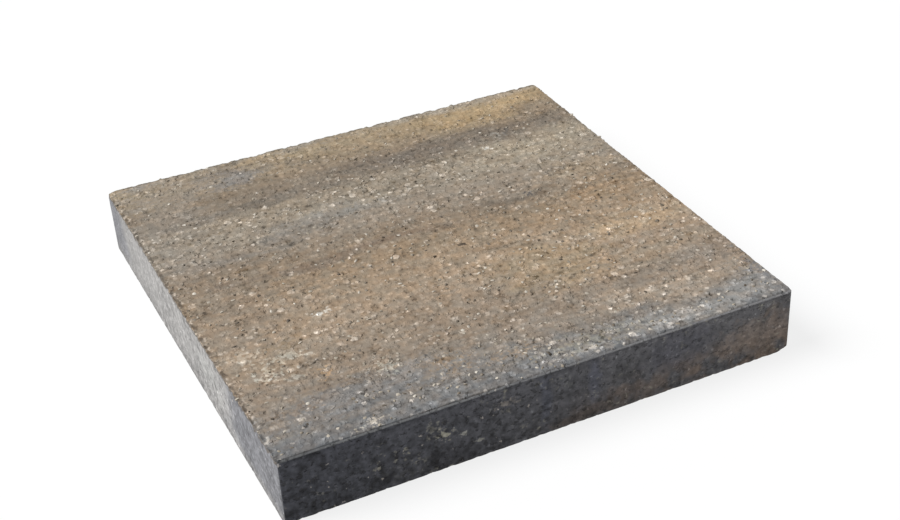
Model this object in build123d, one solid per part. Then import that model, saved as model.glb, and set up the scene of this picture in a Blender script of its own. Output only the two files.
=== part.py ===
from build123d import *
import os

# Wall coping: one square slab of pressed concrete, lying on its bedding face.
#
# X runs along the wall, Y across it and Z up. The origin is the middle of the bedding face.
# The slab is pressed face up in a steel mould. The mould gives it upright sides with small rounded
# corners, and the tamper that presses the face leaves a narrow land and a steep bevel all round it.

# Driving dimensions, in millimetres
LENGTH = 300.0  # along the wall, from butt joint to butt joint
DEPTH = 300.0  # across the wall, from front edge to back edge
THICKNESS = 40.0  # from the bedding face to the weathered face
MOULD_CORNER_RADIUS = 2.0  # upright corners of the mould
LAND_WIDTH = 1.2  # flat rim between the mould wall and the tamper's edge
LAND_DROP = 1.0  # how far that rim lies below the weathered face
BEVEL_RUN = 0.6  # how far the tamper's bevel leans in from foot to top
FACE_CORNER_RADIUS = 1.9  # corners of the weathered face, at the top of the bevel
FOOT_CHAMFER = 0.8  # worn arris round the bedding face

# Places that follow from the driving dimensions
LAND_HEIGHT = THICKNESS - LAND_DROP
FACE_INSET = LAND_WIDTH + BEVEL_RUN


def rounded_plan(inset, corner_radius):
    """The slab's plan, drawn in from the mould wall on every side."""
    return RectangleRounded(LENGTH - 2 * inset, DEPTH - 2 * inset, corner_radius)


def mould_body():
    """Everything below the land: upright sides, rounded corners and the worn foot."""
    body = extrude(rounded_plan(0, MOULD_CORNER_RADIUS), LAND_HEIGHT)
    foot_edges = body.edges().group_by(Axis.Z)[0]
    return chamfer(foot_edges, FOOT_CHAMFER)


def tamped_face():
    """The low pad under the tamper: a steep bevel from the land up to the weathered face."""
    bevel_foot = Plane.XY.offset(LAND_HEIGHT) * rounded_plan(LAND_WIDTH, FACE_CORNER_RADIUS + BEVEL_RUN)
    bevel_top = Plane.XY.offset(THICKNESS) * rounded_plan(FACE_INSET, FACE_CORNER_RADIUS)
    return loft([bevel_foot, bevel_top])


def coping_slab():
    """The whole coping, which is pressed as one piece."""
    return mould_body() + tamped_face()


slab = coping_slab()
print(f"coping_slab: {slab.volume / 1e6:.4f} litres, {len(slab.faces())} faces")

os.makedirs("parts", exist_ok=True)
export_step(slab, "parts/coping_slab.step")
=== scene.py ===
# %% [markdown]
# # A wall coping of pressed concrete
# A coping is the flat slab that closes the top of a wall and keeps rain out of it. This one is pressed
# face up in a steel mould from two or three pigmented mixes, so its face is streaked in tan, brown and
# blue-grey, and its sides are the smooth skin that the mould leaves.
# The lesson starts from the measured solid, models a fresh slab at the same place, roughens it, and
# then paints it with nodes.

# %% Load the measured solid
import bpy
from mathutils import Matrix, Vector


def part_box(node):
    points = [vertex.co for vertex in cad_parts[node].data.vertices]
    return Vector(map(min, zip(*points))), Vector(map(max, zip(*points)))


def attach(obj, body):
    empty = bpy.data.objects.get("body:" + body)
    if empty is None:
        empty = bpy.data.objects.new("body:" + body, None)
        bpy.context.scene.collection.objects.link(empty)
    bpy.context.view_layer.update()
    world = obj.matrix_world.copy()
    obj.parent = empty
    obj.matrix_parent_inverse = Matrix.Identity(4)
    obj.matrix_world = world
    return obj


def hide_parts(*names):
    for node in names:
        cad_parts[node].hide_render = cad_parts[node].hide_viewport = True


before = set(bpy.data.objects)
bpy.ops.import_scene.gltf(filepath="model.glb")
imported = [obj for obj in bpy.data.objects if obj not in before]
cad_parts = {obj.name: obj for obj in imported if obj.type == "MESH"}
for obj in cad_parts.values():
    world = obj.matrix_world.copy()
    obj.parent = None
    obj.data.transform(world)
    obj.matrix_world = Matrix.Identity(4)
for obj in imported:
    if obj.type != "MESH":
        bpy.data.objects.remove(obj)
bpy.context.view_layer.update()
print("solids:", sorted(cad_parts))

# %% [markdown]
# ## Sizes
# The slab's own size comes from the solid. The edge sizes are those of the mould: a narrow flat land
# round the face, and a steep bevel from the land up to the face.
# Blender works in metres, so millimetres are written with a factor.

# %% Sizes of the slab and its edge
import math

import bpy
import numpy as np
from mathutils import Matrix, Vector

MM = 0.001
SLAB_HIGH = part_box("coping_slab")[1]
HALF_LENGTH = SLAB_HIGH.x
HALF_DEPTH = SLAB_HIGH.y
THICKNESS = SLAB_HIGH.z
LAND_WIDTH = 1.2 * MM
LAND_DROP = 1.0 * MM
BEVEL_RUN = 0.6 * MM
FACE_INSET = LAND_WIDTH + BEVEL_RUN
LAND_HEIGHT = THICKNESS - LAND_DROP
print(f"slab {2000 * HALF_LENGTH:.0f} x {2000 * HALF_DEPTH:.0f} x {1000 * THICKNESS:.0f} mm")

# %% [markdown]
# ## The camera
# The camera stands in front of the slab's left corner and looks down on it. Its place and lens come
# from a fit to the slab's straight edges, and the small lens shift is there because the picture is a
# cropped one, whose optical centre is not its middle.

# %% Camera
IMAGE_WIDTH = 900
IMAGE_HEIGHT = 520
FOCAL_LENGTH_PIXELS = 1552.2
OPTICAL_CENTRE_X = 508.7
OPTICAL_CENTRE_Y = 300.9
EYE = (-0.3036, -0.7149, 0.5092)
EYE_AZIMUTH = math.radians(26.36)
EYE_FALL = math.radians(33.59)
EYE_ROLL = math.radians(-1.96)
SENSOR_WIDTH = 36.0

turn_to_slab = Matrix.Rotation(-EYE_AZIMUTH, 4, "Z")
tip_down = Matrix.Rotation(math.pi / 2 - EYE_FALL, 4, "X")
roll = Matrix.Rotation(EYE_ROLL, 4, "Z")
look = (turn_to_slab @ tip_down @ roll).to_euler()
bpy.ops.object.camera_add(location=EYE, rotation=look)
camera = bpy.context.object
camera.name = "camera"
camera.data.sensor_width = SENSOR_WIDTH
camera.data.lens = FOCAL_LENGTH_PIXELS * SENSOR_WIDTH / IMAGE_WIDTH
camera.data.shift_x = (IMAGE_WIDTH / 2 - OPTICAL_CENTRE_X) / IMAGE_WIDTH
camera.data.shift_y = (OPTICAL_CENTRE_Y - IMAGE_HEIGHT / 2) / IMAGE_WIDTH
bpy.context.scene.camera = camera
print(f"camera with a {camera.data.lens:.1f} mm lens")

# %% [markdown]
# ## The studio
# A stone sample is shown on a pale sheet under one large soft lamp. The lamp stands to the left and a
# little behind, so the left end is the brightest side and the front lies in shade, lit by the floor. It
# is a sun lamp with a wide angle, which lights both ends of the slab alike, as a distant softbox does.
# The sheet glows a little, as one that is lit from below, so that it stays white and its shadow faint.
# The plain view transform is chosen so that a colour picked on screen comes back as it was picked.

# %% Floor
FLOOR_SIZE = 30.0
FLOOR_GAP = 0.05 * MM
FLOOR_GLOW = 0.82


def paint(red, green, blue):
    """A colour picked on screen, from 0 to 255, as the linear colour that a shader mixes."""
    linear = []
    for share in (red / 255, green / 255, blue / 255):
        linear.append(share / 12.92 if share <= 0.04045 else ((share + 0.055) / 1.055) ** 2.4)
    return (*linear, 1.0)


bpy.ops.object.select_all(action="DESELECT")
bpy.ops.mesh.primitive_plane_add(size=FLOOR_SIZE, location=(0, 0, -FLOOR_GAP))
floor = bpy.context.object
floor.name = "floor"
paper = bpy.data.materials.new("pale_paper")
paper.use_nodes = True
paper_shader = paper.node_tree.nodes["Principled BSDF"]
paper_shader.inputs["Base Color"].default_value = paint(112, 112, 112)
paper_shader.inputs["Roughness"].default_value = 0.9
paper_shader.inputs["Specular IOR Level"].default_value = 0.1
paper_shader.inputs["Emission Color"].default_value = paint(255, 255, 255)
paper_shader.inputs["Emission Strength"].default_value = FLOOR_GLOW
floor.data.materials.append(paper)
print("floor", FLOOR_SIZE, "m")

# %% Lamp and room light
LAMP_SIDE = Vector((-0.615, 0.246, 0.75))
LAMP_SPREAD = math.radians(35)
LAMP_STRENGTH = 3.88
ROOM_LIGHT = 0.2
ROOM_COLOUR = paint(250, 252, 255)

aim = LAMP_SIDE.to_track_quat("Z", "Y").to_euler()
bpy.ops.object.light_add(type="SUN", location=LAMP_SIDE, rotation=aim)
lamp = bpy.context.object
lamp.name = "soft_lamp"
lamp.data.angle = LAMP_SPREAD
lamp.data.energy = LAMP_STRENGTH

room = bpy.data.worlds.new("pale_room")
room.use_nodes = True
background = room.node_tree.nodes["Background"]
background.inputs["Color"].default_value = ROOM_COLOUR
background.inputs["Strength"].default_value = ROOM_LIGHT
bpy.context.scene.world = room
bpy.context.scene.view_settings.view_transform = "Standard"
print("one soft lamp, spread over", round(math.degrees(LAMP_SPREAD)), "degrees")

# %% [markdown]
# ## The slab, first its face
# The face needs far more points than the sides, because grains of a few millimetres stand on it. A cube
# cut up evenly would waste most of its points on the underside. So the face is laid first, as a fine
# grid at its real size, and the rest of the slab is pulled out of the grid's border.

# %% Face grid
FACE_CELL = 1.15 * MM
face_half_length = HALF_LENGTH - FACE_INSET
face_half_depth = HALF_DEPTH - FACE_INSET


def add_grid(half_length, half_depth, cell, height):
    """A flat grid of this size, with cells of about this width."""
    bpy.ops.mesh.primitive_grid_add(
        x_subdivisions=round(2 * half_length / cell),
        y_subdivisions=round(2 * half_depth / cell),
        size=2 * half_length,
        calc_uvs=False,
        location=(0, 0, height),
    )
    narrow = (1, half_depth / half_length, 1)
    bpy.ops.transform.resize(value=narrow, center_override=(0, 0, height))


bpy.ops.object.select_all(action="DESELECT")
add_grid(face_half_length, face_half_depth, FACE_CELL, THICKNESS)
slab = bpy.context.object
slab.name = "coping"
bpy.ops.object.transform_apply(location=True, rotation=True, scale=True)
print("face grid:", len(slab.data.polygons), "cells")

# %% [markdown]
# ## The edge and the sides
# Each ring of the edge is one extrusion of the border: down the bevel, out over the land, over the
# arris, then down the side in rows, and in again at the worn foot. A ring is moved down by the
# extrusion and spread by a scale about the slab's middle. The land wears to a slight slope, so it takes a
# part of the drop.

# %% Pull the border out and down
ARRIS = 0.25 * MM
LAND_SLOPE = 0.3 * MM
FOOT_CHAMFER = 0.8 * MM
SIDE_ROWS = 17


def pull_border(ring, outset, drop):
    """Extrude the selected border down, spread it outwards, and return the new ring's half sizes."""
    half_length, half_depth = ring
    wider = (half_length + outset, half_depth + outset)
    bpy.ops.mesh.extrude_edges_move(TRANSFORM_OT_translate={"value": (0, 0, -drop)})
    spread = (wider[0] / half_length, wider[1] / half_depth, 1)
    bpy.ops.transform.resize(value=spread, center_override=(0, 0, 0))
    return wider


bpy.ops.object.mode_set(mode="EDIT")
bpy.ops.mesh.select_mode(type="EDGE")
bpy.ops.mesh.select_all(action="SELECT")
bpy.ops.mesh.region_to_loop()
ring = (face_half_length, face_half_depth)
ring = pull_border(ring, BEVEL_RUN, LAND_DROP - LAND_SLOPE)
ring = pull_border(ring, LAND_WIDTH / 2, LAND_SLOPE / 2)
ring = pull_border(ring, LAND_WIDTH / 2 - ARRIS, LAND_SLOPE / 2)
ring = pull_border(ring, ARRIS, ARRIS)
side_row = (LAND_HEIGHT - ARRIS - FOOT_CHAMFER) / SIDE_ROWS
for row in range(SIDE_ROWS):
    ring = pull_border(ring, 0, side_row)
ring = pull_border(ring, -FOOT_CHAMFER, FOOT_CHAMFER)
bpy.ops.object.mode_set(mode="OBJECT")
print("open slab:", len(slab.data.polygons), "faces")

# %% [markdown]
# ## The bedding face
# The underside is hidden in the mortar bed, so a coarse grid is enough. A new grid looks up, so it is
# flipped to look down. The operator that bridges two open borders also joins rings with different counts
# of points.

# %% Close the underside
BED_CELL = 5.5 * MM
BED_MARGIN = 4.0 * MM
bed_half_length = HALF_LENGTH - BED_MARGIN
bed_half_depth = HALF_DEPTH - BED_MARGIN

bpy.ops.object.mode_set(mode="EDIT")
add_grid(bed_half_length, bed_half_depth, BED_CELL, 0)
bpy.ops.mesh.flip_normals()
bpy.ops.mesh.select_all(action="DESELECT")
bpy.ops.mesh.select_non_manifold(extend=False)
bpy.ops.mesh.bridge_edge_loops()
bpy.ops.object.mode_set(mode="OBJECT")
print("closed slab:", len(slab.data.polygons), "faces")

# %% [markdown]
# ## Rounded corners
# The mould's upright corners are slightly round. A bevel can't be wider than the fine cells beside the
# corner, so the points are moved instead: in each corner square, a point keeps its ring and slides
# along it from the square onto a circle.

# %% Round the upright corners
MOULD_CORNER_RADIUS = 2.0 * MM
PAD_CORNER_RADIUS = 2.5 * MM


def read_rows(items, name, width=3):
    """One attribute of all points or faces of a mesh, a row for each."""
    rows = np.empty(width * len(items))
    items.foreach_get(name, rows)
    return rows.reshape(-1, width)


def round_corners(points, chosen, half_length, half_depth, radius):
    """Turn the square corners of the chosen points' plan into quarter circles."""
    along = np.abs(points[:, 0]) - (half_length - radius)
    across = np.abs(points[:, 1]) - (half_depth - radius)
    corner = chosen & (along > 0) & (across > 0)
    ring_radius = np.maximum(along, across)[corner]
    reach = np.hypot(along, across)[corner]
    along[corner] *= ring_radius / reach
    across[corner] *= ring_radius / reach
    points[corner, 0] = np.sign(points[corner, 0]) * (half_length - radius + along[corner])
    points[corner, 1] = np.sign(points[corner, 1]) * (half_depth - radius + across[corner])


points = read_rows(slab.data.vertices, "co")
hair = 0.01 * MM
pad_half_length = HALF_LENGTH - LAND_WIDTH
pad_half_depth = HALF_DEPTH - LAND_WIDTH
bevel_foot = LAND_HEIGHT + LAND_SLOPE
on_pad = points[:, 2] > bevel_foot - hair
round_corners(points, on_pad, pad_half_length, pad_half_depth, PAD_CORNER_RADIUS)
round_corners(points, ~on_pad, HALF_LENGTH, HALF_DEPTH, MOULD_CORNER_RADIUS)
slab.data.vertices.foreach_set("co", points.ravel())
slab.data.update()
print("corners rounded to", MOULD_CORNER_RADIUS / MM, "mm")

# %% [markdown]
# ## Four surfaces on one slab
# The slab is one piece, but it has four finishes: the pressed face, the dark skin of the two long
# sides, the paler skin of the two butt ends, and the dusty bedding face. The ends are painted paler and
# the long sides darker, partly for their own colour and partly as painted light: lamp light on the left
# end and shade on the front. Each gets a material slot, and the clean mesh is the right moment to sort
# its faces, because their normals are still exact. The land belongs to the dark side at the front, and
# elsewhere to the face, which crumbles out over it.

# %% Sort the faces by their normals
FINISHES = ["pressed_face", "dark_side", "pale_end", "bedding"]
FACE, LONG_SIDE, BUTT_END, BED = range(len(FINISHES))
FACE_UP = 0.4

for finish in FINISHES:
    slab.data.materials.append(bpy.data.materials.new(finish))
normals = read_rows(slab.data.polygons, "normal")
centres = read_rows(slab.data.polygons, "center")
looks_along = np.abs(normals[:, 0]) > np.abs(normals[:, 1])
finish_index = np.where(looks_along, BUTT_END, LONG_SIDE)
beside_end = HALF_LENGTH - np.abs(centres[:, 0]) < HALF_DEPTH - np.abs(centres[:, 1])
on_pad = centres[:, 2] > bevel_foot
on_land = (normals[:, 2] > FACE_UP) & ~on_pad
at_front = (centres[:, 1] < 0) & ~beside_end
finish_index[on_land] = np.where(at_front[on_land], LONG_SIDE, FACE)
finish_index[on_pad] = FACE
finish_index[normals[:, 2] < -FACE_UP] = BED
slab.data.polygons.foreach_set("material_index", finish_index.astype(np.int32))
print({name: int((finish_index == i).sum()) for i, name in enumerate(FINISHES)})

# %% [markdown]
# ## A flat map
# When the finishes are baked to pictures, the surface has to be laid out flat. Smart projection cuts
# it where it turns sharply, which on a slab is at its edges.

# %% Flat map for baking
SEAM_ANGLE = math.radians(66)
ISLAND_GAP = 0.002

slab.data.uv_layers.new(name="OFBake")
bpy.ops.object.mode_set(mode="EDIT")
bpy.ops.mesh.select_all(action="SELECT")
bpy.ops.uv.smart_project(angle_limit=SEAM_ANGLE, island_margin=ISLAND_GAP)
bpy.ops.object.mode_set(mode="OBJECT")
print("flat map:", slab.data.uv_layers[0].name)

# %% [markdown]
# ## Writing nodes
# Both the relief and the paint are made of nodes, so a few short helpers come first. They add a node,
# wire or set its inputs by the names that Blender shows, and hand back an output. An output knows the
# tree it belongs to, so most helpers need not be told.

# %% Node helpers
def shown(sockets, name):
    """The socket that a node shows under this name: some nodes hold hidden ones of the same name."""
    return next(s for s in sockets if s.name == name and s.enabled)


def plug(value, socket):
    """Wire an output to this socket, or type a plain value into it."""
    if isinstance(value, bpy.types.NodeSocket):
        socket.id_data.links.new(value, socket)
    else:
        socket.default_value = value


def add(tree, kind, wires, output=None, **settings):
    """Add a node with these settings and inputs, and return the named output, or the first one."""
    node = tree.nodes.new(kind)
    for name, value in settings.items():
        setattr(node, name, value)
    for name, value in wires.items():
        plug(value, shown(node.inputs, name))
    return shown(node.outputs, output) if output else node.outputs[0]


def tree_of(*values):
    """The node tree of the first output among these values."""
    return next(v.id_data for v in values if isinstance(v, bpy.types.NodeSocket))


def new_group(name, kind, inputs, outputs):
    """An empty node group with named sockets, and its input and output nodes."""
    tree = bpy.data.node_groups.new(name, kind)
    for title, socket_kind in inputs:
        tree.interface.new_socket(title, in_out="INPUT", socket_type="NodeSocket" + socket_kind)
    for title, socket_kind in outputs:
        tree.interface.new_socket(title, in_out="OUTPUT", socket_type="NodeSocket" + socket_kind)
    return tree, tree.nodes.new("NodeGroupInput").outputs, tree.nodes.new("NodeGroupOutput").inputs


print("node helpers ready")


# %% Helpers for arithmetic
def one_step(kind, operation, values):
    """The outputs of a node that does one step of arithmetic on these values."""
    node = tree_of(*values).nodes.new(kind)
    node.operation = operation
    for socket, value in zip(node.inputs, values):
        plug(value, socket)
    return node.outputs


def calc(operation, *values):
    """One step of arithmetic on numbers."""
    return one_step("ShaderNodeMath", operation, values)[0]


def total(whole, *others):
    """The sum of these numbers."""
    for value in others:
        whole = calc("ADD", whole, value)
    return whole


def product(whole, *others):
    """These numbers, multiplied."""
    for value in others:
        whole = calc("MULTIPLY", whole, value)
    return whole


def less(value, amount):
    """A number less an amount."""
    return calc("SUBTRACT", value, amount)


def ease(value, start, stop, low=0.0, high=1.0):
    """A soft step: low up to start, high from stop on."""
    wires = {"Value": value, "From Min": start, "From Max": stop, "To Min": low, "To Max": high}
    return add(tree_of(value), "ShaderNodeMapRange", wires, interpolation_type="SMOOTHSTEP")


print("arithmetic helpers ready")


# %% Helpers for vectors and textures
def vector(operation, *values):
    """One step of arithmetic on vectors or colours."""
    return one_step("ShaderNodeVectorMath", operation, values)[0]


def length(value):
    """The length of a vector."""
    return one_step("ShaderNodeVectorMath", "LENGTH", [value])["Value"]


def times(value, amount):
    """A vector or a colour, multiplied by a number."""
    node = tree_of(value, amount).nodes.new("ShaderNodeVectorMath")
    node.operation = "SCALE"
    plug(value, node.inputs[0])
    plug(amount, node.inputs["Scale"])
    return node.outputs[0]


def split(value):
    """The three numbers of a vector or a colour, under the names X, Y and Z."""
    return add(tree_of(value), "ShaderNodeSeparateXYZ", {"Vector": value}).node.outputs


def noise(place, size, detail, output="Fac"):
    """Soft noise whose blobs are about this size."""
    wires = {"Vector": place, "Scale": 1 / size, "Detail": detail}
    return add(tree_of(place), "ShaderNodeTexNoise", wires, output)


def uneven(place, size, detail, height):
    """Noise of this size that swings about zero by half this height."""
    return product(less(noise(place, size, detail), 0.5), height)


def shove(place, size, detail):
    """Random vectors from noise of this size, which swing about zero."""
    return vector("SUBTRACT", noise(place, size, detail, "Color"), (0.5, 0.5, 0.5))


def jitter(place, size, reach):
    """Shove places about by noise of this size, so that round cells become ragged ones."""
    return vector("ADD", place, times(shove(place, size, 1.0), reach))


def cells(place, size, dimensions="3D"):
    """Random cells of about this size: the distance from each cell's middle, and its random colour."""
    node = tree_of(place).nodes.new("ShaderNodeTexVoronoi")
    node.voronoi_dimensions = dimensions
    is_wired = isinstance(size, bpy.types.NodeSocket)
    plug(place, node.inputs["Vector"])
    plug(calc("DIVIDE", 1.0, size) if is_wired else 1 / size, node.inputs["Scale"])
    return node.outputs["Distance"], split(node.outputs["Color"])


print("texture helpers ready")

# %% [markdown]
# ## Grains and pits: one recipe for mesh and paint
# Under the tamper the coarse sand is pressed into the face. Some grains stand a little proud, and where
# one fell out or air was trapped there is a pit. A Voronoi texture makes such cells: each cell is a
# grain, its distance makes a dome, and its random colour decides whether it shows.
# Geometry Nodes and Shader Nodes have the same textures, so the same recipe is built once for each kind
# of tree. The mesh then rises and falls where the paint says there is a grain or a pit. All textures
# work in millimetres, which keeps their numbers readable.

# %% Recipe for the face's grains and pits
GRAIN_SIZE = 3.0
GRAIN_SHARE = 0.4
GRAIN_RISE = 0.45
PIT_SPACING = 9.0
PIT_SHARE = 0.28
PIT_RADIUS = 1.6
PIT_DEPTH = 0.9
SMALLEST_PIT = 0.02


def grain_recipe(kind):
    """Height of the pressed face in millimetres, with masks of its grains and pits."""
    outputs = [("Height", "Float"), ("Grain", "Float"), ("Shade", "Float"), ("Pit", "Float")]
    tree, given, result = new_group("grains and pits", kind, [("Place", "Vector")], outputs)
    ragged_place = jitter(given["Place"], 2.0, 3.0)
    distance, lots = cells(ragged_place, GRAIN_SIZE, "2D")
    dome = ease(distance, 0.55, 0.15)
    chosen = ease(lots["X"], 1 - GRAIN_SHARE, 1 - GRAIN_SHARE + 0.1)
    grain = product(dome, chosen)
    rise = product(grain, product(lots["Y"], GRAIN_RISE))

    distance, hole_lots = cells(ragged_place, PIT_SPACING, "2D")
    radius = ease(hole_lots["Z"], 1 - PIT_SHARE, 1.0, 0.0, PIT_RADIUS / PIT_SPACING)
    pit = ease(distance, radius, product(radius, 0.4))
    pit = product(pit, calc("GREATER_THAN", radius, SMALLEST_PIT))
    plug(less(rise, product(pit, PIT_DEPTH)), result["Height"])
    plug(grain, result["Grain"])
    plug(lots["Z"], result["Shade"])
    plug(pit, result["Pit"])
    return tree


mesh_grains = grain_recipe("GeometryNodeTree")
paint_grains = grain_recipe("ShaderNodeTree")
print("recipe nodes:", len(mesh_grains.nodes))

# %% [markdown]
# ## Relief
# A Geometry Nodes modifier moves the points, mostly along their normals. The face gets the grains, the
# pits and a slight unevenness, the sides get the much finer skin of the mould, and the bedding face
# stays flat, so that the slab still lies on it. The foot is a little ragged. Sculpting could make all
# of this too, but nodes give the same slab each time.

# %% Relief of the face, the sides and the foot
FACE_SWELL = 0.4
FACE_TOOTH = 0.6
SKIN_TOOTH = 0.12
FOOT_RAG = 0.8
HALF_LENGTH_MM = HALF_LENGTH / MM
HALF_DEPTH_MM = HALF_DEPTH / MM
THICKNESS_MM = THICKNESS / MM
LAND_HEIGHT_MM = LAND_HEIGHT / MM


def rough_surface(place, normal):
    """Moves of the face by its grains and pits, and of the sides by their skin."""
    up = split(normal)["Z"]
    on_face = ease(up, 0.3, 0.8)
    on_side = ease(calc("ABSOLUTE", up), 0.8, 0.4)
    grains = add(tree_of(place), "GeometryNodeGroup", {"Place": place}, "Height", node_tree=mesh_grains)
    swell = uneven(place, 40, 1.0, FACE_SWELL)
    tooth = uneven(place, 3, 1.0, FACE_TOOTH)
    from_front = total(split(place)["Y"], HALF_DEPTH_MM)
    calm_front = ease(from_front, 2.0, 6.0, 0.3, 1.0)
    height = product(total(swell, tooth, grains), on_face, calm_front)
    skin = product(uneven(place, 4, 2.0, SKIN_TOOTH), on_side)
    return times(normal, total(height, skin))


def ragged_foot(place, normal):
    """Moves of the lowest edge, which is nibbled inwards."""
    axes = split(place)
    sideways = vector("NORMALIZE", vector("MULTIPLY", normal, (1, 1, 0)))
    near_foot = ease(axes["Z"], 2.5, 0.4)
    nibble = ease(noise(place, 4, 3.0), 0.45, 0.75)
    along = calc("ABSOLUTE", axes["X"])
    depth = ease(along, HALF_LENGTH_MM - 2, HALF_LENGTH_MM - 0.5, -FOOT_RAG, -0.4 * FOOT_RAG)
    return times(sideways, product(near_foot, nibble, depth))


print("relief of face, sides and foot ready")

# %% [markdown]
# ## Worn rim and chipped corners
# Only the front keeps its land: on the other three sides the face runs out over it, and the rim is
# crumbled. Two corners are chipped, as handling leaves them. Each is a move that fades out with the
# distance from the rim or the corner.

# %% Relief of the rim and the corners
RIM_RAG = 3.4
RIM_RISE = 0.75
RIM_REACH = 4.0
CHIP_STEEPNESS = 4
CHIPS = [
    # corner, reach along each axis, depth of the bite
    ((HALF_LENGTH_MM, -HALF_DEPTH_MM, 0), (9, 5, 3), 1.5),
    ((-HALF_LENGTH_MM, -HALF_DEPTH_MM, THICKNESS_MM), (3, 3, 2.5), 0.5),
]


def add_worn_rim(offset, place, normal):
    """Add the moves of the rim at both ends and the back: crumbled, and raised to the face."""
    axes = split(place)
    at_rim = ease(axes["Z"], LAND_HEIGHT_MM - 1.2, LAND_HEIGHT_MM - 0.2)
    from_end = less(HALF_LENGTH_MM, calc("ABSOLUTE", axes["X"]))
    from_back = less(HALF_DEPTH_MM, axes["Y"])
    near_rim = product(at_rim, ease(calc("MINIMUM", from_end, from_back), RIM_REACH, 1.0))
    bitten = calc("MINIMUM", uneven(place, 3.6, 2.0, RIM_RAG), 0.2)
    calm_right = ease(axes["X"], HALF_LENGTH_MM - 10, HALF_LENGTH_MM - 2, 1.0, 0.4)
    offset = vector("ADD", offset, times(normal, product(bitten, calm_right, near_rim)))
    below_face = less(THICKNESS_MM, axes["Z"])
    lift = product(calc("MINIMUM", below_face, 1.0), RIM_RISE, near_rim)
    return vector("ADD", offset, vector("MULTIPLY", (0, 0, 1), lift))


def add_chips(offset, place):
    """Add the moves of the chipped corners, towards the slab's middle."""
    ragged = noise(place, 4, 2.0)
    for corner, reach, bite in CHIPS:
        away = vector("DIVIDE", vector("SUBTRACT", place, corner), reach)
        share = ease(total(length(away), ragged), 1.5, 0.6)
        inward = Vector((0, 0, THICKNESS_MM / 2)) - Vector(corner)
        inward.z *= CHIP_STEEPNESS
        offset = vector("ADD", offset, times(tuple(inward.normalized() * bite), share))
    return offset


print("relief of the rim and", len(CHIPS), "chips ready")


# %% Relief modifier
SMOOTH_ANGLE = math.radians(50)


def mesh_place(tree):
    """Places on the mesh, in millimetres."""
    return times(tree.nodes.new("GeometryNodeInputPosition").outputs[0], 1 / MM)


def relief_tree():
    """The modifier's tree: mesh in, roughened mesh out."""
    sockets = [("Geometry", "Geometry")]
    tree, given, result = new_group("relief", "GeometryNodeTree", sockets, sockets)
    place = mesh_place(tree)
    normal = tree.nodes.new("GeometryNodeInputNormal").outputs[0]
    offset = rough_surface(place, normal)
    offset = vector("ADD", offset, ragged_foot(place, normal))
    offset = add_worn_rim(offset, place, normal)
    offset = add_chips(offset, place)
    wires = {"Geometry": given["Geometry"], "Offset": times(offset, MM)}
    plug(add(tree, "GeometryNodeSetPosition", wires), result["Geometry"])
    return tree


bpy.ops.object.select_all(action="DESELECT")
slab.select_set(True)
bpy.context.view_layer.objects.active = slab
roughen = slab.modifiers.new("relief", "NODES")
roughen.node_group = relief_tree()
bpy.ops.object.modifier_apply(modifier=roughen.name)
bpy.ops.object.shade_smooth_by_angle(angle=SMOOTH_ANGLE)
triangles = sum(len(p.vertices) - 2 for p in slab.data.polygons)
print("roughened slab:", triangles, "triangles")

# %% [markdown]
# ## Sand, shared by every finish
# Pressed concrete is sand in coloured paste. Wherever the skin is worn, each grain shows as a dot that is
# a little lighter or darker than the paste, and a few are cream quartz. All four finishes need it, so it
# is a shader node group: it takes a coat and gives it back with its grains and a height.

# %% Sand group
CREAM_LIFT = (0.38, 0.34, 0.295)
PASTE_TONE = -0.05
TONE_SPREAD = 0.47
QUARTZ_COVER = 0.85
SAND_RISE = 0.06


def blend(share, under, over):
    """Mix two colours by a share from 0 to 1."""
    wires = {"Factor": share, "A": under, "B": over}
    return add(tree_of(share), "ShaderNodeMix", wires, "Result", data_type="RGBA")


def sand_group():
    """One layer of sand of the given size, painted over a coat."""
    inputs = [
        ("Place", "Vector"),
        ("Size", "Float"),
        ("Coat", "Color"),
        ("Bite", "Float"),
        ("Cream", "Float"),
    ]
    outputs = [("Colour", "Color"), ("Height", "Float")]
    tree, given, result = new_group("sand", "ShaderNodeTree", inputs, outputs)
    ragged_place = jitter(given["Place"], 1.3, 2.0)
    distance, lots = cells(ragged_place, given["Size"])
    radius = ease(lots["Z"], 0.0, 1.0, 0.26, 0.66)
    core = ease(distance, radius, product(radius, 0.6))
    tone = product(less(lots["X"], 0.45), TONE_SPREAD)
    gleam = ease(lots["X"], 0.88, 1.0, 0.0, 0.4)
    shade = ease(lots["X"], 0.1, 0.0, 0.0, -0.1)
    grain_tone = total(tone, total(gleam, shade))
    share_tone = product(core, less(grain_tone, PASTE_TONE))
    whole_tone = product(total(share_tone, PASTE_TONE), given["Bite"])
    half_tone = product(whole_tone, 0.5)
    grey = add(tree, "ShaderNodeRGBToBW", {"Color": given["Coat"]})
    toned = times(given["Coat"], total(half_tone, 1.0))
    toned = vector("ADD", toned, product(grey, half_tone))
    colour = vector("MAXIMUM", toned, (0.01, 0.01, 0.01))
    strength = product(core, given["Bite"])
    rare = less(1.0, given["Cream"])
    cream = product(calc("GREATER_THAN", lots["Y"], rare), strength)
    quartz = vector("ADD", given["Coat"], CREAM_LIFT)
    plug(blend(product(cream, QUARTZ_COVER), colour, quartz), result["Colour"])
    rise = product(core, total(lots["X"], 0.4))
    plug(product(rise, product(given["Size"], SAND_RISE)), result["Height"])
    return tree


sand = sand_group()
print("sand group:", len(sand.nodes), "nodes")

# %% [markdown]
# ## Pores, shared by every finish
# Air leaves small ragged holes in the paste. They are cells too, of which only a share is chosen, each
# with its own radius.

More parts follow.
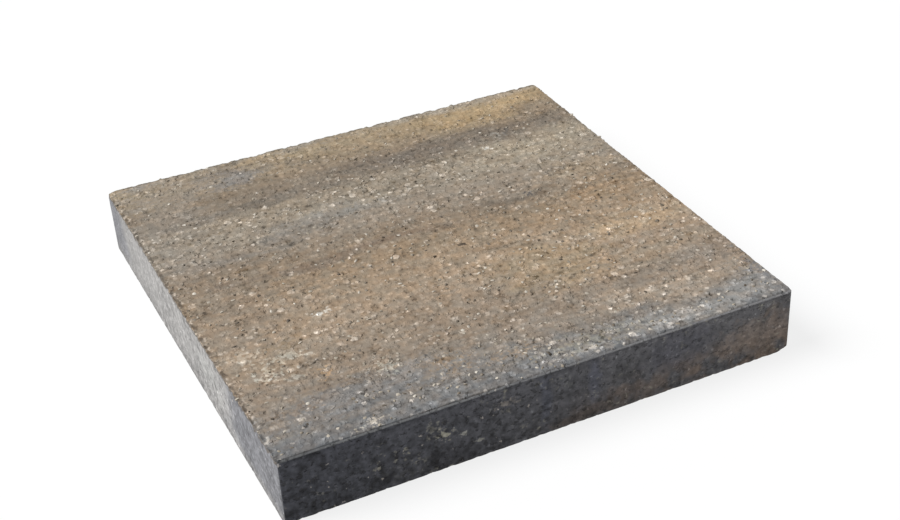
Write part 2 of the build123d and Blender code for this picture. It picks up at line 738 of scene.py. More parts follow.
# %% Pore group
def pore_group():
    """Small ragged holes, spread at random."""
    inputs = [("Place", "Vector"), ("Spacing", "Float"), ("Share", "Float"), ("Radius", "Float")]
    tree, given, result = new_group("pores", "ShaderNodeTree", inputs, [("Pore", "Float")])
    ragged_place = jitter(given["Place"], 1.5, 1.8)
    distance, lots = cells(ragged_place, given["Spacing"])
    wide = calc("DIVIDE", given["Radius"], given["Spacing"])
    wide = product(wide, total(lots["Y"], 0.4))
    hole = ease(distance, wide, product(wide, 0.55))
    chosen = calc("LESS_THAN", lots["X"], given["Share"])
    plug(product(hole, chosen), result["Pore"])
    return tree


pores = pore_group()
print("pore group:", len(pores.nodes), "nodes")

# %% [markdown]
# ## Pigment streaks
# The mixes fall into the mould one after the other and smear along the slab, so the face has long soft
# streaks with grainy borders. One streak is a soft ellipse of pigment over what lies under it. A group
# holds it, and a ragged value breaks its border up into grains.

# %% Streak group
def streak_group():
    """One streak of pigment over what lies under it."""
    inputs = [
        ("Place", "Vector"),
        ("Ragged", "Float"),
        ("Under", "Color"),
        ("Pigment", "Color"),
        ("Centre", "Vector"),
        ("Half size", "Vector"),
        ("Strength", "Float"),
    ]
    tree, given, result = new_group("pigment streak", "ShaderNodeTree", inputs, [("Colour", "Color")])
    away = vector("SUBTRACT", given["Place"], given["Centre"])
    distance = total(length(vector("DIVIDE", away, given["Half size"])), given["Ragged"])
    share = product(ease(distance, 1.25, 0.35), given["Strength"])
    plug(blend(share, given["Under"], given["Pigment"]), result["Colour"])
    return tree


streak = streak_group()
print("streak group:", len(streak.nodes), "nodes")

# %% [markdown]
# ## Whole materials
# Each finish is one material with its own Principled shader. Its places are Object coordinates, so the
# paint sticks to the slab wherever it lies, and the height of its sand goes through a Bump node.

# %% Helpers for whole materials
def use(group, wires):
    """Place a shader group with these inputs, and return its outputs."""
    return add(tree_of(*wires.values()), "ShaderNodeGroup", wires, node_tree=group).node.outputs


def sow_sand(place, coat, bite, size, cream):
    """A coat with one layer of sand on it: its colour and its height."""
    return use(sand, {"Place": place, "Size": size, "Coat": coat, "Bite": bite, "Cream": cream})


def prick(place, spacing, share, radius):
    """A mask of pores."""
    return use(pores, {"Place": place, "Spacing": spacing, "Share": share, "Radius": radius})["Pore"]


def start_material(name):
    """Places on a slab material's surface, in millimetres."""
    material = bpy.data.materials[name]
    material.use_nodes = True
    place = material.node_tree.nodes.new("ShaderNodeTexCoord").outputs["Object"]
    return times(place, 1 / MM)


def finish_surface(colour, height, roughness):
    """Send a colour and a height in millimetres to the material's own shader."""
    tree = tree_of(colour)
    shader = tree.nodes["Principled BSDF"]
    shader.inputs["Roughness"].default_value = roughness
    shader.inputs["Specular IOR Level"].default_value = 0.25
    plug(colour, shader.inputs["Base Color"])
    wires = {"Height": height, "Strength": 1.0, "Distance": MM}
    plug(add(tree, "ShaderNodeBump", wires), shader.inputs["Normal"])


def ramp(value, stops):
    """Colours along a value from 0 to 1, given as they look on screen."""
    node = tree_of(value).nodes.new("ShaderNodeValToRGB")
    plug(value, node.inputs["Fac"])
    elements = node.color_ramp.elements
    while len(elements) < len(stops):
        elements.new(1.0)
    for element, (position, colour) in zip(elements, stops):
        element.position = position
        element.color = paint(*colour)
    return node.outputs["Color"]


print("material helpers ready")

# %% [markdown]
# ## The pressed face: bands, streaks and spots
# First come the broad bands across the slab, as a colour ramp along its depth: blue-grey at the front,
# then tan, a pale grey band, a dark one, and ochre at the back. Single streaks lie over the bands. Small
# spots come last, where the paste has crumbled and pale sand shows, or a dark hollow, whose darkness is
# painted shade.
# All of this could be painted by hand on a picture, but a list of places is easier to change.

# %% Bands across the face
BANDS = [
    # place across the slab in mm, and the colour there
    (-150, (126, 126, 127)),
    (-136, (130, 128, 126)),
    (-118, (145, 136, 126)),
    (-96, (149, 136, 122)),
    (-42, (165, 148, 129)),
    (-2, (155, 138, 118)),
    (18, (146, 132, 116)),
    (40, (152, 141, 128)),
    (62, (157, 147, 133)),
    (82, (155, 144, 129)),
    (96, (134, 123, 110)),
    (116, (145, 131, 114)),
    (140, (164, 148, 124)),
]
print(len(BANDS), "bands")

# %% Streaks of the face
STREAKS = [
    # middle along and across, half length and half width in mm, colour, strength
    ((105, 135), (60, 16), (180, 156, 120), 0.6),
    ((-100, 134), (70, 18), (148, 139, 128), 0.55),
    ((-78, 128), (22, 11), (126, 127, 129), 0.55),
    ((65, 98), (80, 19), (116, 108, 100), 0.6),
    ((-80, 89), (80, 5), (124, 116, 107), 0.6),
    ((-34, 54), (45, 13), (139, 138, 135), 0.55),
    ((108, 66), (55, 24), (174, 163, 145), 0.6),
    ((115, 28), (40, 14), (174, 159, 138), 0.45),
    ((-62, 50), (30, 15), (134, 128, 121), 0.55),
    ((-138, 90), (34, 70), (150, 143, 134), 0.5),
    ((-100, 35), (55, 5), (130, 124, 117), 0.5),
    ((52, 21), (28, 6), (108, 99, 89), 0.6),
    ((-50, 9), (90, 4), (124, 111, 100), 0.55),
    ((-95, -4), (70, 10), (138, 124, 109), 0.3),
    ((105, 2), (34, 12), (168, 143, 116), 0.45),
    ((115, -42), (40, 14), (184, 164, 138), 0.65),
    ((120, -88), (32, 9), (142, 134, 126), 0.4),
    ((95, -78), (60, 9), (170, 153, 132), 0.4),
    ((50, -60), (36, 20), (170, 150, 120), 0.4),
    ((85, 80), (26, 7), (184, 172, 153), 0.5),
    ((-130, -22), (42, 44), (146, 134, 121), 0.5),
    ((-125, -72), (24, 18), (172, 159, 141), 0.2),
    ((-100, -118), (70, 14), (130, 130, 131), 0.6),
    ((100, -114), (70, 13), (172, 157, 140), 0.65),
    ((95, -138), (85, 11), (162, 159, 155), 0.7),
    ((-125, -146), (45, 10), (106, 107, 109), 0.35),
    ((0, 153), (210, 13), (161, 157, 151), 0.5),
]
print(len(STREAKS), "streaks")

# %% Crumbled spots of the face
# The dark spots are painted shade of hollows.
SPOTS = [
    # middle along and across, half length and half width in mm, colour, strength
    ((-134, -60), (8, 6), (206, 198, 184), 0.5),
    ((-116, -71), (11, 4), (206, 199, 184), 0.7),
    ((-129, -80), (7, 7), (204, 198, 184), 0.7),
    ((-117, -90), (7, 3), (202, 194, 180), 0.6),
    ((-112, -60), (10, 7), (146, 124, 94), 0.4),
    ((-103, -94), (4, 5), (196, 164, 128), 0.5),
    ((-81, -41), (5.5, 2.2), (226, 220, 210), 0.85),
    ((-72, -106), (6, 8), (190, 188, 178), 0.65),
    ((14, -16), (2.4, 1.8), (66, 59, 52), 0.9),
    ((69, 129), (4, 3), (206, 186, 160), 0.6),
    ((28, 119), (3.5, 3), (192, 180, 162), 0.5),
    ((111, 130), (6, 4), (198, 174, 142), 0.5),
    ((55, 112), (6, 3), (178, 166, 150), 0.4),
    ((80, 82), (3.5, 2.5), (234, 230, 222), 0.9),
    ((38, 80), (4, 3), (208, 198, 184), 0.7),
    ((94, 95), (4, 5), (186, 180, 170), 0.5),
    ((101, 97), (4, 4), (98, 98, 98), 0.5),
    ((76, -72), (8, 6), (178, 150, 120), 0.4),
    ((77, 18), (5, 3.5), (84, 82, 82), 0.8),
    ((88, -139), (5, 3), (196, 190, 184), 0.6),
    ((30, -137), (30, 8), (172, 167, 154), 0.5),
    ((58, -126), (18, 4), (118, 114, 110), 0.35),
    ((-97, -145), (8, 3), (208, 202, 190), 0.7),
    ((-42, -118), (10, 10), (166, 142, 114), 0.4),
    ((-10, -126), (13, 4), (168, 147, 122), 0.45),
    ((-125, -117), (11, 4), (166, 146, 126), 0.4),
    ((150, -127), (12, 20), (126, 126, 128), 0.65),
]
print(len(SPOTS), "spots")


# %% Lay marks over a coat
def crumbs(place):
    """A coarse raggedness that breaks a small spot up into single grains."""
    return total(uneven(place, 2.4, 2.0, 6.0), 0.3)


def lay_marks(coat, place, ragged, marks):
    """Lay marks over a coat, one after the other: middle, half size, colour and strength of each."""
    for middle, half_size, colour, strength in marks:
        wires = {
            "Place": place,
            "Ragged": ragged,
            "Under": coat,
            "Pigment": paint(*colour),
            "Centre": middle,
            "Half size": half_size,
            "Strength": strength,
        }
        coat = use(streak, wires)["Colour"]
    return coat


def lay_on_face(coat, place, ragged, marks):
    """Lay marks that are given along and across the face, whatever its height."""
    flat_place = vector("MULTIPLY", place, (1, 1, 0))
    placed = []
    for middle, half_size, colour, strength in marks:
        placed.append(((*middle, 0), (*half_size, 1), colour, strength))
    return lay_marks(coat, flat_place, ragged, placed)


print("marks ready to lay")

# %% [markdown]
# ## Clumps
# Sand is never spread evenly: the grain shows more in some places than in others. Noise of four sizes,
# added up, makes such clumps. A few wide places are listed: the front edge and both ends of the pale
# band are grainier, and the dark band is calmer. The same strength later thins the loose grains.

# %% Clumps of grain
CLUMPS = [(60, 1.2), (13, 2.0), (5, 2.4), (2.5, 2.8)]
CLUMP_BASE = 0.72
CLUMP_LEAST = 0.62
GRAINY_PLACES = [
    # middle along and across, half length and half width in mm, and how much more the grain shows
    ((0, -136), (100, 15), 0.2),
    ((-80, -108), (20, 12), 0.25),
    ((-28, 105), (48, 15), -0.3),
    ((108, 75), (32, 14), 0.2),
    ((-120, 75), (24, 16), 0.25),
]


def clumps(place):
    """How strongly the grain shows, about 1 on average."""
    strength = CLUMP_BASE
    for size, swing in CLUMPS:
        strength = total(strength, uneven(place, size, 1.0, swing))
    strength = calc("MAXIMUM", strength, CLUMP_LEAST)
    for middle, half_size, change in GRAINY_PLACES:
        away = vector("SUBTRACT", place, (*middle, THICKNESS_MM))
        away = vector("DIVIDE", away, (*half_size, THICKNESS_MM))
        strength = total(strength, ease(length(away), 1.25, 0.35, 0.0, change))
    return strength


print(len(CLUMPS), "sizes of clumps")

# %% [markdown]
# ## The face's coat
# The coat is the pigment alone, before any sand. Noise that is stretched along the slab bends the bands
# and smears the streaks. Then the hue drifts between warm and cool, and faint wisps make it lighter and
# darker.

# %% Coat of the face
SMEAR = (0.45, 1, 1)
LONG_SMEAR = (0.08, 1, 1)
FLOW_REACH = (70, 34, 0)
BAND_RAGGEDNESS = 14.0
WARM_TINT = (1.07, 1.0, 0.93)
COOL_TINT = (0.96, 1.0, 1.03)
COAT_TONE = 0.957


def face_coat(place, strength):
    """The face's pigments: broad bands, streaks and spots, smeared along the slab."""
    smear = vector("MULTIPLY", place, SMEAR)
    ragged = total(uneven(smear, 7, 3.0, 1.5), uneven(place, 2, 2.0, 1.2))
    flow = vector("ADD", place, vector("MULTIPLY", shove(smear, 30, 2.0), FLOW_REACH))
    across = total(split(flow)["Y"], product(ragged, BAND_RAGGEDNESS))
    wires = {"Value": across, "From Min": -HALF_DEPTH_MM, "From Max": HALF_DEPTH_MM}
    share = add(tree_of(place), "ShaderNodeMapRange", wires)
    stops = [((y + HALF_DEPTH_MM) / (2 * HALF_DEPTH_MM), colour) for y, colour in BANDS]
    coat = lay_on_face(ramp(share, stops), flow, ragged, STREAKS)
    coat = lay_on_face(coat, place, crumbs(place), SPOTS)
    long_smear = vector("MULTIPLY", place, LONG_SMEAR)
    hue = total(noise(place, 7, 1.0), uneven(long_smear, 4, 1.0, 0.5))
    hue = less(ease(hue, 0.3, 0.7), 0.5)
    lively = ease(split(place)["Y"], 0, 60, 0.75, 0.45)
    hue = total(product(hue, lively), 0.5)
    coat = vector("MULTIPLY", coat, blend(hue, (*WARM_TINT, 1), (*COOL_TINT, 1)))
    wisps = total(uneven(smear, 9, 2.0, 0.5), uneven(place, 4.5, 3.0, 0.9))
    wisps = total(wisps, uneven(long_smear, 3, 1.0, 0.4))
    return times(coat, total(product(wisps, strength), COAT_TONE))


print("coat of the face ready")

# %% [markdown]
# ## Worn patches
# Where the paste is rubbed off, the coarse sand stands out. That happens in clouds, most of all in the
# pale band and along the front, and least at the back.

# %% Worn patches
PALE_BAND = 62.0
FRONT_BAND = (-112, -132)
CALM_BACK = (80, 102)
EXTRA_WEAR = 0.12
FRONT_RIGHT_WEAR = 0.25


def worn_patches(place, strength):
    """Where the paste is rubbed off the grains."""
    axes = split(place)
    off_pale_band = calc("ABSOLUTE", less(axes["Y"], PALE_BAND))
    front_band = ease(axes["Y"], *FRONT_BAND)
    rich = product(calc("MAXIMUM", ease(off_pale_band, 38, 12), front_band), EXTRA_WEAR)
    cloud = total(noise(place, 13, 2.0), rich)
    worn = ease(cloud, 0.38, 0.7, 0.42, 0.95)
    right_part = product(ease(axes["X"], -20, 80), ease(axes["X"], 125, 95))
    worn = total(worn, product(product(front_band, right_part), FRONT_RIGHT_WEAR))
    return product(worn, ease(axes["Y"], *CALM_BACK, 1.0, 0.6), strength)


print("worn patches ready")

# %% [markdown]
# ## Edges of the face
# The crumbled left edge is darker, partly from dirt and partly as painted shade among its crumbs, and
# bare pale grains show there where the paste broke away. The back edge is darker too, and the foot of
# the front's bevel is darkened as painted shade in its groove.

# %% Edges of the face
BARE_SHIFT = (50, 0, 0)


def dress_edges(place, coat, colour):
    """A colour with bare grains, dirt and painted shade, darker along the edges of the face."""
    axes = split(place)
    ragged_edge = uneven(place, 3.5, 3.0, 7.0)
    from_left = total(axes["X"], HALF_LENGTH_MM, ragged_edge)
    patchy = ease(noise(place, 5, 2.0), 0.6, 0.42)
    # Left edge: dirt, and painted shade among the crumbs.
    left_dirt_and_shade = product(ease(from_left, 3.2, 1.2, 0.0, 0.55), patchy)
    bare = ease(noise(vector("ADD", place, BARE_SHIFT), 4, 2.0), 0.54, 0.66)
    bare_rim = product(bare, ease(from_left, 5.0, 2.5, 0.0, 0.6))
    colour = blend(bare_rim, colour, vector("ADD", coat, CREAM_LIFT))
    from_back = total(less(HALF_DEPTH_MM, axes["Y"]), ragged_edge)
    # Back edge: darker along it.
    back_edge_darkening = ease(from_back, 2.6, 0.6, 0.0, 0.4)
    # Foot of the front's bevel: painted shade in its groove, stronger to the left.
    on_bevel = ease(axes["Z"], THICKNESS_MM - 0.15, THICKNESS_MM - 0.4)
    at_front = ease(axes["Y"], 3 - HALF_DEPTH_MM, 2.2 - HALF_DEPTH_MM)
    leftwards = ease(axes["X"], 30, -60, 0.1, 0.5)
    front_bevel_shade = product(on_bevel, at_front, leftwards)
    edge_darkening = calc("MAXIMUM", calc("MAXIMUM", left_dirt_and_shade, back_edge_darkening), front_bevel_shade)
    return times(colour, less(1.0, edge_darkening))


print("edges of the face ready")

# %% [markdown]
# ## The pressed face, put together
# Over the coat come three sizes of sand, the raised grains of the mesh, and dark hollows: the mesh's own
# pits and small gaps beside the coarse grains, whose darkness is painted shade. The sand is too fine for
# the mesh, so its height goes to a Bump node.

# %% Pressed face
# Pits and gaps are painted dark as painted shade in the hollows.
PIT_SHADE_COLOUR = paint(62, 54, 45)
PIT_SHADE_STRENGTH = 0.36
GAP_DEPTH = 0.3
RAISED_BUMP = 0.4


def paint_pressed_face():
    """The streaked, sandy, pitted top."""
    place = start_material("pressed_face")
    strength = clumps(place)
    coat = face_coat(place, strength)
    worn = worn_patches(place, strength)
    bite = product(strength, ease(split(place)["Y"], *CALM_BACK, 0.7, 0.52))
    fine = sow_sand(place, coat, bite, size=2.0, cream=0.035)
    middling = sow_sand(place, fine["Colour"], worn, size=3.2, cream=0.055)
    coarse = sow_sand(place, middling["Colour"], worn, size=4.6, cream=0.028)
    raised = use(paint_grains, {"Place": place})
    brighter = times(coarse["Colour"], ease(raised["Shade"], 0.0, 1.0, 0.8, 1.35))
    colour = blend(raised["Grain"], coarse["Colour"], brighter)
    gaps = prick(place, spacing=5.0, share=0.2, radius=1.6)
    # Painted shade in the pits and gaps.
    hollow_shade = calc("MAXIMUM", raised["Pit"], product(gaps, calc("MINIMUM", worn, 0.7)))
    colour = blend(product(hollow_shade, PIT_SHADE_STRENGTH), colour, PIT_SHADE_COLOUR)
    colour = dress_edges(place, coat, colour)
    height = total(fine["Height"], total(middling["Height"], coarse["Height"]))
    height = total(product(height, strength), product(raised["Height"], RAISED_BUMP))
    finish_surface(colour, less(height, product(gaps, GAP_DEPTH)), roughness=0.9)


paint_pressed_face()
print("pressed face painted")

# %% [markdown]
# ## The dark long sides
# The mould leaves a dense skin. On the two long sides it is dark blue-grey paste, paler towards the
# right, with brown mix low down there. Its darkness is partly the paste's own colour and partly painted
# shade, as the front lies in shade. The front also has smears of blue-grey and brown where the mixes
# met the mould, and a few crumbled places. They are laid as the face's streaks are.

# %% Colours and marks of the dark sides
# The dark skin's colours are partly its own anthracite and partly painted shade of the front.
SIDE_LEFT = paint(65, 66, 72)
SIDE_RIGHT = paint(101, 100, 102)
SIDE_BROWN = paint(120, 105, 94)
# The rim colours are paler partly where the land is rubbed and partly as a painted highlight of the lit
# arris.
RIM_LEFT = paint(104, 105, 106)
RIM_RIGHT = paint(132, 131, 132)
SIDE_SPECK = paint(166, 162, 148)
# Near black for pores and scars: painted shade in the hollows.
PORE_SHADE_COLOUR = paint(34, 33, 34)
FRONT_SMEARS = [
    # middle along and up, half length and half height in mm, colour, strength
    ((-58, 7), (24, 8), (46, 45, 49), 0.4),
    ((12, 20), (14, 14), (66, 66, 70), 0.3),
    ((46, 22), (14, 9), (66, 65, 66), 0.4),
    ((78, 27), (24, 14), (82, 82, 92), 0.45),
    ((-4, 23), (4, 22), (84, 87, 99), 0.5),
    ((25, 25), (4.5, 19), (86, 88, 101), 0.55),
    ((22, 5), (26, 5), (98, 84, 73), 0.5),
    ((44, 11), (16, 5), (108, 93, 83), 0.45),
    ((128, 18), (26, 13), (134, 120, 109), 0.6),
    ((140, 27), (7, 10), (122, 107, 96), 0.4),
]
FRONT_MARKS = [
    # the same for small crumbled places
    ((-84, 8), (14, 5), (90, 89, 87), 0.3),
    ((-68, 30), (4, 4), (134, 132, 124), 0.6),
    ((-63, 23), (3.5, 3), (172, 168, 152), 0.75),
    ((-51, 19), (1.6, 1.6), (168, 166, 158), 0.7),
    ((-43, 11), (1.8, 1.5), (150, 148, 140), 0.65),
    ((-29, 29), (6.5, 2), (140, 133, 126), 0.65),
    ((9, 30), (1.8, 4), (118, 118, 116), 0.5),
]
print(len(FRONT_SMEARS), "smears and", len(FRONT_MARKS), "marks on the front")

# %% Coat of the dark sides
FRONT_REACH = 40
LOWER_PART = (27, 8)
DARKEST_TONE = 0.3
UPRIGHT_STRETCH = (1, 1, 0.35)


def lay_on_front(coat, place, ragged, marks):
    """Lay marks that are given along and up the front."""
    placed = []
    for (along, up), (half_length, half_height), colour, strength in marks:
        half_size = (half_length, FRONT_REACH, half_height)
        placed.append(((along, -HALF_DEPTH_MM, up), half_size, colour, strength))
    return lay_marks(coat, place, ragged, placed)


def blotches(place, size, start, stop):
    """A mask of ragged blots where noise of this size is high."""
    return ease(noise(place, size, 3.0), start, stop)


def side_coat(place):
    """Anthracite skin with brown mix, mottled, darker at the foot as painted shade, and lighter at the
    land, partly rubbed and partly a painted highlight of the arris.
    """
    axes = split(place)
    along = ease(axes["X"], -HALF_LENGTH_MM, HALF_LENGTH_MM)
    coat = blend(along, SIDE_LEFT, SIDE_RIGHT)
    right = ease(axes["X"], -20, 130)
    brown = product(ease(axes["Z"], *LOWER_PART), right, blotches(place, 11, 0.36, 0.62))
    coat = blend(brown, coat, SIDE_BROWN)
    coat = lay_on_front(coat, place, uneven(place, 5, 3.0, 2.0), FRONT_SMEARS)
    coat = lay_on_front(coat, place, crumbs(place), FRONT_MARKS)
    upright = vector("MULTIPLY", place, UPRIGHT_STRETCH)
    mottle = total(uneven(upright, 8, 3.0, 1.2), uneven(place, 3.6, 2.0, 2.3))
    mottle = product(mottle, ease(axes["X"], -100, 60, 1.04, 0.58))
    # Darker at the foot: painted shade near the floor.
    foot = ease(axes["Z"], 16, 2, 0.0, -0.32)
    upper = product(ease(axes["Z"], 27, 37, 0.0, 0.2), ease(axes["X"], 20, -40, 0.3, 1.0))
    tone = total(total(mottle, total(foot, upper)), 1.0)
    coat = times(coat, calc("MAXIMUM", tone, DARKEST_TONE))
    # At the land the skin is lighter: partly rubbed, partly a painted highlight of the arris.
    rim = ease(axes["Z"], THICKNESS_MM - 1.5, THICKNESS_MM - 1.1)
    rubbed_and_highlit = product(rim, blotches(place, 12, 0.2, 0.45))
    return blend(rubbed_and_highlit, coat, blend(along, RIM_LEFT, RIM_RIGHT))


print("coat of the dark sides ready")

# %% [markdown]
# ## Sand, specks and pores of the dark sides
# The skin shows fine sand, groups of pale specks, and pores and scars painted near black as painted
# shade in them, darker towards the left. To get noise that differs from the coat's, the same texture is
# read at another place.

# %% Dark long sides
SPECK_SHIFT = (40, 70, 20)
SCAR_SHIFT = (90, 30, 60)
SPECK_STRENGTH = 0.6
SIDE_HOLE_DEPTH = 0.35


def paint_dark_side():
    """The dark skin with sand, pale specks and black pores."""
    place = start_material("dark_side")
    axes = split(place)
    pale_sand = ease(axes["X"], 100, -60, 0.004, 0.025)
    bite = ease(axes["X"], -40, 80, 0.88, 1.25)
    grainy = sow_sand(place, side_coat(place), bite, size=2.1, cream=pale_sand)
    elsewhere = vector("ADD", place, SPECK_SHIFT)
    groups = blotches(elsewhere, 16, 0.5, 0.65)
    specks = product(blotches(elsewhere, 2.8, 0.56, 0.74), groups)
    colour = blend(product(specks, SPECK_STRENGTH), grainy["Colour"], SIDE_SPECK)
    dots = prick(place, spacing=4.5, share=0.25, radius=1.5)
    scars = blotches(vector("ADD", place, SCAR_SHIFT), 2.6, 0.56, 0.68)
    holes = calc("MAXIMUM", dots, scars)
    leftness = ease(axes["X"], 120, -80, 0.3, 0.6)
    # Pores and scars painted dark as painted shade.
    colour = blend(product(holes, leftness), colour, PORE_SHADE_COLOUR)
    height = less(grainy["Height"], product(holes, SIDE_HOLE_DEPTH))
    finish_surface(colour, height, roughness=0.75)


paint_dark_side()
print("dark sides painted")

# %% [markdown]
# ## The pale butt ends
# The skin of the butt ends is paler and smoother, with faint blots. Its paleness is partly its own
# colour and partly painted light, for the lamp that lights the left end. It is cooler and darker
# towards both corners and darker at the foot. A dark band lies under its upper edge: a little paste
# from the face that hangs over it, and painted shade under the crumbled rim.

# %% Pale butt ends
# END_COAT is partly the skin's own grey and partly painted light of the lamp on the left end.
END_COAT = paint(153, 151, 149)
END_COOL = paint(123, 123, 126)
# Colour of the band under the upper edge: paste from the face, and painted shade under the rim.
END_SPILL_AND_SHADE = paint(100, 92, 83)
PALE_PATCH = ((-HALF_LENGTH_MM, -42, 24), (40, 18, 9), (172, 171, 168), 0.6)
END_HOLE_DEPTH = 0.3
SPILL_DEPTH = 0.4


def end_coat(place, busy):
    """Pale grey skin with faint blots, cooler towards both corners."""
    axes = split(place)
    wander = total(axes["Y"], uneven(place, 20, 3.0, 60))
    corners = total(ease(wander, -52, -92), ease(wander, 108, 136))
    coat = blend(product(corners, ease(axes["Z"], 3, 9, 0.4, 1.0)), END_COAT, END_COOL)
    coat = lay_marks(coat, place, uneven(place, 8, 3.0, 3.0), [PALE_PATCH])
    blots = total(uneven(place, 6, 3.0, 0.7), uneven(place, 20, 2.0, 0.4))
    blots = product(total(blots, uneven(place, 2.4, 2.0, 1.0)), busy)
    foot = ease(axes["Z"], 12, 1, 0.0, -0.16)
    return times(coat, total(blots, foot, 1.0))


def paint_pale_end():
    """The pale skin with fine sand and pores, and a dark band under its upper edge: paste that hangs over
    it, and painted shade under the crumbled rim.
    """
    place = start_material("pale_end")
    axes = split(place)
    busy = ease(axes["Y"], 90, 10, 1.0, 1.6)
    grainy = sow_sand(place, end_coat(place, busy), product(busy, 0.5), size=2.0, cream=0.008)
    holes = prick(place, spacing=6, share=0.25, radius=0.9)
    # Pores painted dark as painted shade in them.
    colour = blend(product(holes, 0.4), grainy["Colour"], PORE_SHADE_COLOUR)
    # The band under the upper edge is paste that hangs over it and painted shade under the crumbled rim.
    depth = less(LAND_HEIGHT_MM, axes["Z"])
    reach = ease(noise(place, 3, 3.0), 0.4, 0.7, 0.2, 2.6)
    spill_and_shade = ease(less(depth, reach), 0.3, -0.3)
    colour = blend(product(spill_and_shade, 0.8), colour, END_SPILL_AND_SHADE)
    height = less(grainy["Height"], product(holes, END_HOLE_DEPTH))
    finish_surface(colour, less(height, product(spill_and_shade, SPILL_DEPTH)), roughness=0.8)


paint_pale_end()
print("pale ends painted")

# %% [markdown]
# ## Paint for the bedding face
# The underside stands on the pallet while it cures. It is plain grey, dusty and open-pored, so that mortar
# can grip it.

# %% Bedding face
BED_COAT = paint(136, 133, 129)
BED_HOLE_DEPTH = 0.4


def paint_bedding():
    """Dusty grey with open pores."""
    place = start_material("bedding")
    cloud = total(uneven(place, 30, 3.0, 0.3), uneven(place, 5, 2.0, 0.25))
    coat = times(BED_COAT[:3], total(cloud, 1.0))
    grainy = sow_sand(place, coat, bite=0.6, size=1.8, cream=0.03)
    holes = prick(place, spacing=5, share=0.5, radius=1.4)
    # Pores painted dark as painted shade in them.
    colour = blend(product(holes, 0.6), grainy["Colour"], PORE_SHADE_COLOUR)
    height = less(grainy["Height"], product(holes, BED_HOLE_DEPTH))
    finish_surface(colour, height, roughness=0.95)


paint_bedding()
print("bedding face painted")

# %% [markdown]
# ## Loose grains
# The largest grains stand clear of the paste, catch the light and cast small shadows. They are too small
# for the slab's own grid, so they are a piece of their own: Geometry Nodes sows points, puts a low ball
# of twenty faces on each, and makes the balls lumpy. Each grain keeps a random shade, which its paint
# reads.
# The face itself is a poor ground to sow on, because extruding leaves its faces in another order each
# time, and the seed then gives other grains. So the points are sown on a plain grid over the face and
# dropped straight down onto the slab.

# %% Lay a sowing grid over the face
bpy.ops.object.select_all(action="DESELECT")
add_grid(HALF_LENGTH, HALF_DEPTH, FACE_CELL, THICKNESS)
grains = bpy.context.object
grains.name = "face_grains"
bpy.ops.object.transform_apply(location=True, rotation=True, scale=True)
print("sowing ground:", len(grains.data.polygons), "faces")

# %% Sow points and drop them
GRAIN_GAP = 2.6
GRAINS_PER_SQUARE_METRE = 20000
SOWING_SEED = 3
DROP_START = 5.0
DROP_LENGTH = 7.5


def sow_points(tree, ground, place):
    """Points on the ground, most where the paste is worn, and none on the front's land."""
    worn = worn_patches(place, clumps(place))
    behind_land = calc("GREATER_THAN", split(place)["Y"], FACE_INSET / MM - HALF_DEPTH_MM)
    wires = {
        "Mesh": ground,
        "Distance Min": GRAIN_GAP * MM,
        "Density Max": GRAINS_PER_SQUARE_METRE,
        "Density Factor": product(worn, behind_land),
        "Seed": SOWING_SEED,
    }
    return add(tree, "GeometryNodeDistributePointsOnFaces", wires, distribute_method="POISSON")


def drop_points(tree, points, place):
    """The points, let fall onto the slab. A point that misses it is left out."""
    wires = {
        "Target Geometry": add(tree, "GeometryNodeObjectInfo", {"Object": slab}, "Geometry"),
        "Source Position": times(vector("ADD", place, (0, 0, DROP_START)), MM),
        "Ray Direction": (0, 0, -1),
        "Ray Length": DROP_LENGTH * MM,
    }
    landed = add(tree, "GeometryNodeRaycast", wires).node.outputs
    wires = {"Geometry": points, "Selection": landed["Is Hit"]}
    points = add(tree, "GeometryNodeSeparateGeometry", wires, "Selection", domain="POINT")
    wires = {"Geometry": points, "Position": landed["Hit Position"]}
    return add(tree, "GeometryNodeSetPosition", wires)


print("sowing helpers ready")

# %% Grow a grain on each point
SMALL_GRAIN = (0.7, 0.6, 0.25)
LARGE_GRAIN = (1.7, 1.3, 0.5)
GRAIN_TILT = 0.4
GRAIN_LUMPS = 0.7
BALL_FACES = 20
TURN_SEED = 5
SIZE_SEED = 7
SHADE_SEED = 11


def random_value(tree, kind, low, high, seed):
    """A random value of this kind for each point."""
    node = tree.nodes.new("FunctionNodeRandomValue")
    node.data_type = kind
    plug(low, shown(node.inputs, "Min"))
    plug(high, shown(node.inputs, "Max"))
    node.inputs["Seed"].default_value = seed
    return next(s for s in node.outputs if s.enabled)


def sowing_tree():
    """The modifier's tree: sowing ground in, loose grains out."""
    sockets = [("Geometry", "Geometry")]
    tree, given, result = new_group("sow grains", "GeometryNodeTree", sockets, sockets)
    place = mesh_place(tree)
    points = drop_points(tree, sow_points(tree, given["Geometry"], place), place)
    least_turn = (-GRAIN_TILT, -GRAIN_TILT, 0)
    most_turn = (GRAIN_TILT, GRAIN_TILT, 2 * math.pi)
    wires = {
        "Points": points,
        "Instance": add(tree, "GeometryNodeMeshIcoSphere", {"Radius": MM, "Subdivisions": 1}),
        "Rotation": random_value(tree, "FLOAT_VECTOR", least_turn, most_turn, TURN_SEED),
        "Scale": random_value(tree, "FLOAT_VECTOR", SMALL_GRAIN, LARGE_GRAIN, SIZE_SEED),
    }
    sown = add(tree, "GeometryNodeInstanceOnPoints", wires)
    shade = random_value(tree, "FLOAT", 0.0, 1.0, SHADE_SEED)
    wires = {"Geometry": sown, "Name": "grain_shade", "Value": shade}
    sown = add(tree, "GeometryNodeStoreNamedAttribute", wires, data_type="FLOAT", domain="INSTANCE")
    real = add(tree, "GeometryNodeRealizeInstances", {"Geometry": sown})
    wires = {"Geometry": real, "Offset": times(shove(place, 0.9, 1.0), GRAIN_LUMPS * MM)}
    plug(add(tree, "GeometryNodeSetPosition", wires), result["Geometry"])
    return tree


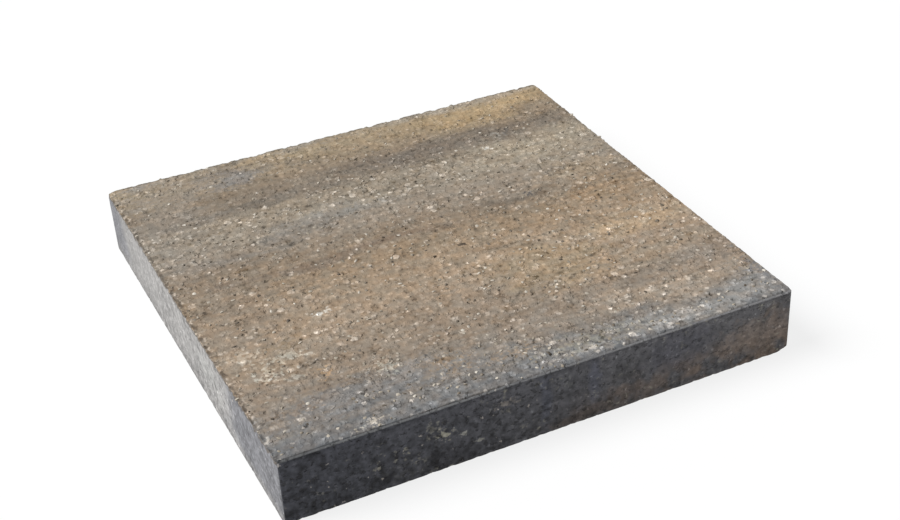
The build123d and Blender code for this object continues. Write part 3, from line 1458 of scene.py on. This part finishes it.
sow = grains.modifiers.new("sow grains", "NODES")
sow.node_group = sowing_tree()
bpy.ops.object.modifier_apply(modifier=sow.name)
print("loose grains:", len(grains.data.polygons) // BALL_FACES, "of", BALL_FACES, "faces each")

# %% [markdown]
# ## Paint for the loose grains
# A few grains are cream quartz, most are grey-tan as the paste is, and some are brown. One colour ramp
# turns the stored shade into a colour. For baking, each grain also gets its own small patch of the flat
# map, at a place that follows from its shade, so that grains which share a patch also share a colour.

# %% Grain paint
GRAIN_SHADES = [
    # shade, and its colour
    (0.0, (210, 203, 190)),
    (0.08, (194, 185, 171)),
    (0.3, (174, 165, 150)),
    (0.6, (154, 144, 128)),
    (0.85, (124, 113, 99)),
    (1.0, (86, 77, 66)),
]

grain_paint = bpy.data.materials.new("loose_grain")
grain_paint.use_nodes = True
grain_tree = grain_paint.node_tree
shade_of_grain = add(grain_tree, "ShaderNodeAttribute", {}, "Fac", attribute_name="grain_shade")
grain_shader = grain_tree.nodes["Principled BSDF"]
grain_shader.inputs["Roughness"].default_value = 0.6
plug(ramp(shade_of_grain, GRAIN_SHADES), grain_shader.inputs["Base Color"])
grains.data.materials.clear()
grains.data.materials.append(grain_paint)
print(len(GRAIN_SHADES), "grain colours")

# %% Flat map of the grains
PATCH = 0.004
PATCH_TURNS = 3
MAP_START = 0.02
MAP_SPAN = 0.96
ROW_MIDDLE = 0.5
ROW_SWING = 0.1
ROW_SCATTER = 997
GRAIN_SMOOTH_ANGLE = math.radians(60)

shades = read_rows(grains.data.attributes["grain_shade"].data, "value", 1)[:, 0]
corners = np.empty(len(grains.data.loops), dtype=np.int32)
grains.data.loops.foreach_get("vertex_index", corners)
places = read_rows(grains.data.vertices, "co")[corners] / MM
columns = MAP_START + MAP_SPAN * shades[corners]
rows = ROW_MIDDLE + ROW_SWING * np.sin(ROW_SCATTER * shades[corners])
patches = np.stack([columns, rows], axis=1)
patches += PATCH * np.sin(places[:, :2] * PATCH_TURNS)
while grains.data.uv_layers:
    grains.data.uv_layers.remove(grains.data.uv_layers[0])
flat_map = grains.data.uv_layers.new(name="OFBake")
flat_map.data.foreach_set("uv", patches.ravel())
bpy.ops.object.shade_smooth_by_angle(angle=GRAIN_SMOOTH_ANGLE)
print("grain shades from", round(shades.min(), 2), "to", round(shades.max(), 2))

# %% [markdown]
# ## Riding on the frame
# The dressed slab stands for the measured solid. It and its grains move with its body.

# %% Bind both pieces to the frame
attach(slab, "root")
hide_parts("coping_slab")
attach(grains, "root")
print("bound:", slab.name, "and", grains.name)
